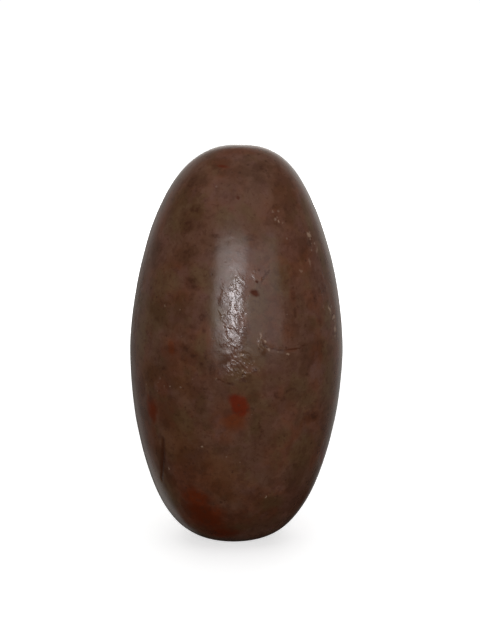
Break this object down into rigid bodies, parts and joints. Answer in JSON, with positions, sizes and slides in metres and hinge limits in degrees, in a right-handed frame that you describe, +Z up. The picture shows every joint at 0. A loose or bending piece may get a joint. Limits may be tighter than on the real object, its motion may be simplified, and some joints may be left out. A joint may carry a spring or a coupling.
{
  "type": "shiva lingam stone",
  "caption": "Tall egg-ended polished stone of reddish-brown jasper-bearing quartz, standing upright on a small flat spot.",
  "frame": {"origin": "under the middle of the stone, at the height of the flat spot it rests on", "axes": "+Z up along the stone's long axis, +X to the right across its broad front, -Y out of the broad front"},
  "size_m": [0.0536, 0.051, 0.1],
  "materials": {
    "stone": "hand-polished dark reddish brown, with red jasper inclusions, olive flecks and fine pits"
  },
  "bodies": {
    "root": {"stone": "stone"}
  },
  "joints": []
}
